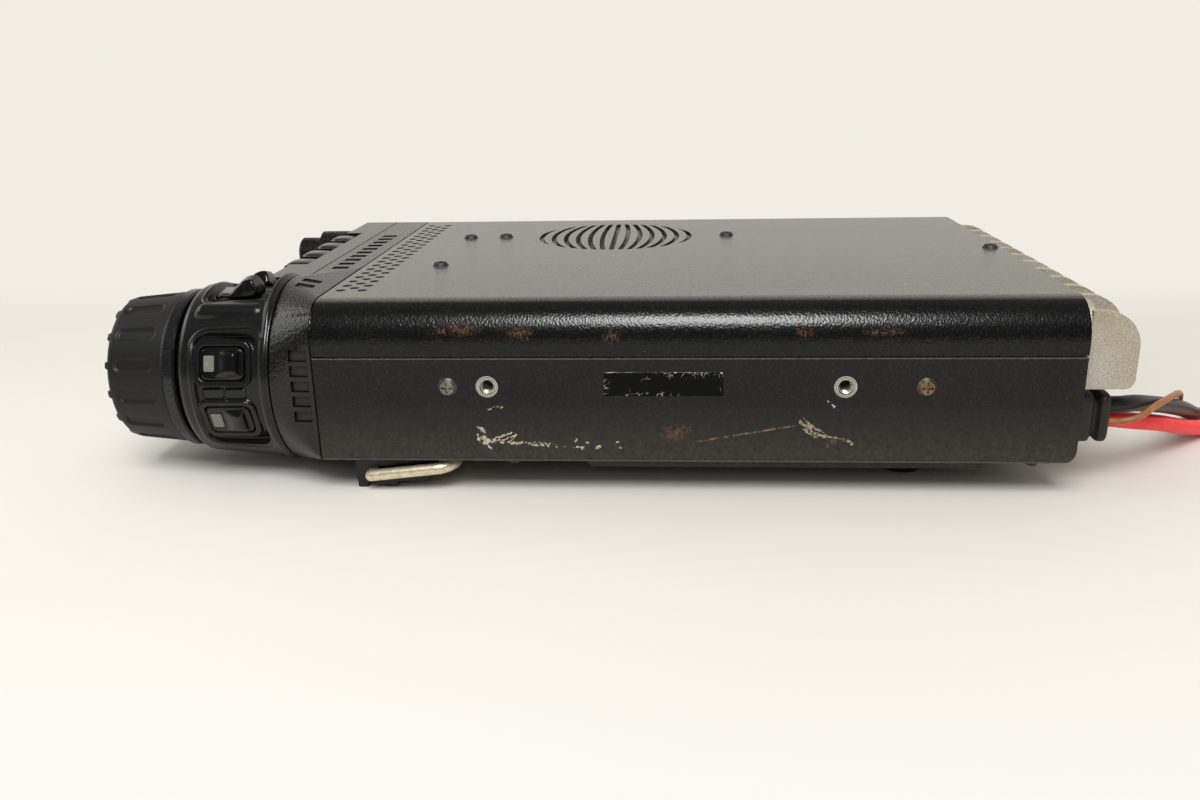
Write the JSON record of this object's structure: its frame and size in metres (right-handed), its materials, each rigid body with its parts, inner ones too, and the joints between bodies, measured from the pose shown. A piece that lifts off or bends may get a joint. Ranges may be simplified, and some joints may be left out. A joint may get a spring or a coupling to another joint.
{
  "type": "two way radio",
  "caption": "Compact mobile two way radio with rounded metal case, detachable front panel with large tuning dial and keys, finned heat sink, folding wire stand and power leads.",
  "frame": {"origin": "on the floor under the middle of the radio, leads not counted", "axes": "front panel towards -Y, operator's right towards +X, up +Z"},
  "size_m": [0.157, 0.3997, 0.0556],
  "materials": {
    "case_paint": "worn black textured paint",
    "cast_alloy": "bare die casting",
    "black_moulding": "fine textured moulding",
    "panel_moulding": "satin moulding",
    "gloss_key": "smooth moulding",
    "grip_rubber": "matte rubber",
    "relief_rubber": "matte rubber",
    "trim_metal": "dark anodised",
    "board": "solder mask",
    "steel": "zinc plated",
    "dark_steel": "black oxide",
    "nickel": "nickel plated",
    "wire_nickel": "dull nickel plated wire",
    "brass": "turned",
    "clear_window": "clear plastic",
    "light_window": "translucent plastic",
    "display": "liquid crystal panel",
    "grey_case": "moulded part",
    "paper": "pressed paper",
    "red_lead": "vinyl insulation",
    "black_lead": "vinyl insulation",
    "brown_lead": "vinyl insulation",
    "nylon": "natural nylon"
  },
  "bodies": {
    "main_unit": {"bottom_case": "case_paint", "top_cover": "case_paint", "chassis": "cast_alloy", "heat_sink": "cast_alloy", "front_frame": "black_moulding", "main_board": "board", "pa_board": "board", "speaker_frame": "steel", "speaker_cone": "paper", "hf_antenna_socket": "nickel", "vhf_antenna_socket": "nickel", "cat_socket": "grey_case", "data_socket": "grey_case", "key_jack": "grey_case", "speaker_jack": "grey_case", "ground_terminal": "brass", "mic_jack": "black_moulding", "strain_relief": "relief_rubber", "red_lead": "red_lead", "black_lead": "black_lead", "brown_lead": "brown_lead", "dc_connector": "nylon", "side_screws": "steel", "top_screws": "dark_steel", "bottom_screws": "dark_steel", "front_feet": "black_moulding", "rear_feet": "relief_rubber"},
    "bail_stand": {"bail": "wire_nickel"},
    "panel": {"panel_shell": "panel_moulding", "panel_back": "black_moulding", "display_window": "clear_window", "display_module": "display", "panel_board": "board", "dial_bush": "brass", "dial_encoder": "grey_case", "knob_encoders": "grey_case"},
    "latch": {"panel_latch": "black_moulding"},
    "dial": {"dial_knob": "gloss_key", "dial_grip": "grip_rubber", "dial_ring": "trim_metal", "dial_shaft": "steel"},
    "volume": {"volume_knob": "black_moulding"},
    "squelch": {"squelch_ring": "black_moulding"},
    "select": {"select_knob": "black_moulding"},
    "clarifier": {"clarifier_ring": "black_moulding"},
    "upper_side_button": {"upper_side_key": "gloss_key", "upper_key_window": "light_window"},
    "lower_side_button": {"lower_side_key": "gloss_key", "lower_key_window": "light_window"},
    "up_button": {"up_key": "gloss_key", "up_key_window": "light_window"},
    "down_button": {"down_key": "gloss_key"},
    "menu_1_button": {"menu_key_1": "gloss_key"},
    "menu_2_button": {"menu_key_2": "gloss_key"},
    "menu_3_button": {"menu_key_3": "gloss_key"},
    "menu_4_button": {"menu_key_4": "gloss_key"},
    "function_a_button": {"function_key_a": "gloss_key"},
    "function_b_button": {"function_key_b": "gloss_key"},
    "function_c_button": {"function_key_c": "gloss_key"},
    "power_button": {"power_key": "gloss_key"}
  },
  "joints": [
    {"name": "panel_pull_off", "type": "slide", "parent": "main_unit", "child": "panel", "axis": [0, -1, 0], "range_m": [0, 0.02]},
    {"name": "bail_fold", "type": "hinge", "parent": "main_unit", "child": "bail_stand", "pos_m": [0, -0.06325, 0.0042], "axis": [-1, 0, 0], "range_deg": [0, 100]},
    {"name": "dial_turn", "type": "hinge", "parent": "panel", "child": "dial", "pos_m": [0.0505, -0.12565, 0.028], "axis": [0, 1, 0], "continuous": true},
    {"name": "volume_turn", "type": "hinge", "parent": "panel", "child": "volume", "pos_m": [-0.06, -0.11565, 0.0416], "axis": [0, 1, 0], "range_deg": [-150, 150]},
    {"name": "squelch_turn", "type": "hinge", "parent": "panel", "child": "squelch", "pos_m": [-0.06, -0.11065, 0.0416], "axis": [0, 1, 0], "range_deg": [-150, 150]},
    {"name": "select_turn", "type": "hinge", "parent": "panel", "child": "select", "pos_m": [-0.06, -0.11565, 0.02], "axis": [0, 1, 0], "continuous": true},
    {"name": "clarifier_turn", "type": "hinge", "parent": "panel", "child": "clarifier", "pos_m": [-0.06, -0.11065, 0.02], "axis": [0, 1, 0], "range_deg": [-150, 150]},
    {"name": "latch_press", "type": "slide", "parent": "panel", "child": "latch", "axis": [1, 0, 0], "range_m": [0, 0.0008], "stiffness_N_per_m": 1500},
    {"name": "upper_side_press", "type": "slide", "parent": "panel", "child": "upper_side_button", "axis": [-0.9511, 0, -0.309], "range_m": [0, 0.0006], "stiffness_N_per_m": 1500},
    {"name": "lower_side_press", "type": "slide", "parent": "panel", "child": "lower_side_button", "axis": [-0.9272, 0, 0.3746], "range_m": [0, 0.0006], "stiffness_N_per_m": 1500},
    {"name": "up_press", "type": "slide", "parent": "panel", "child": "up_button", "axis": [-0.165, 0, -0.9863], "range_m": [0, 0.0006], "stiffness_N_per_m": 1500},
    {"name": "down_press", "type": "slide", "parent": "panel", "child": "down_button", "axis": [0.2334, 0, -0.9724], "range_m": [0, 0.0006], "stiffness_N_per_m": 1500},
    {"name": "menu_1_press", "type": "slide", "parent": "panel", "child": "menu_1_button", "axis": [0, 1, 0], "range_m": [0, 0.0008], "stiffness_N_per_m": 1500},
    {"name": "menu_2_press", "type": "slide", "parent": "panel", "child": "menu_2_button", "axis": [0, 1, 0], "range_m": [0, 0.0008], "stiffness_N_per_m": 1500},
    {"name": "menu_3_press", "type": "slide", "parent": "panel", "child": "menu_3_button", "axis": [0, 1, 0], "range_m": [0, 0.0008], "stiffness_N_per_m": 1500},
    {"name": "menu_4_press", "type": "slide", "parent": "panel", "child": "menu_4_button", "axis": [0, 1, 0], "range_m": [0, 0.0008], "stiffness_N_per_m": 1500},
    {"name": "function_a_press", "type": "slide", "parent": "panel", "child": "function_a_button", "axis": [0, 1, 0], "range_m": [0, 0.0008], "stiffness_N_per_m": 1500},
    {"name": "function_b_press", "type": "slide", "parent": "panel", "child": "function_b_button", "axis": [0, 1, 0], "range_m": [0, 0.0008], "stiffness_N_per_m": 1500},
    {"name": "function_c_press", "type": "slide", "parent": "panel", "child": "function_c_button", "axis": [0, 1, 0], "range_m": [0, 0.0008], "stiffness_N_per_m": 1500},
    {"name": "power_press", "type": "slide", "parent": "panel", "child": "power_button", "axis": [0, 1, 0], "range_m": [0, 0.0008], "stiffness_N_per_m": 1500}
  ]
}
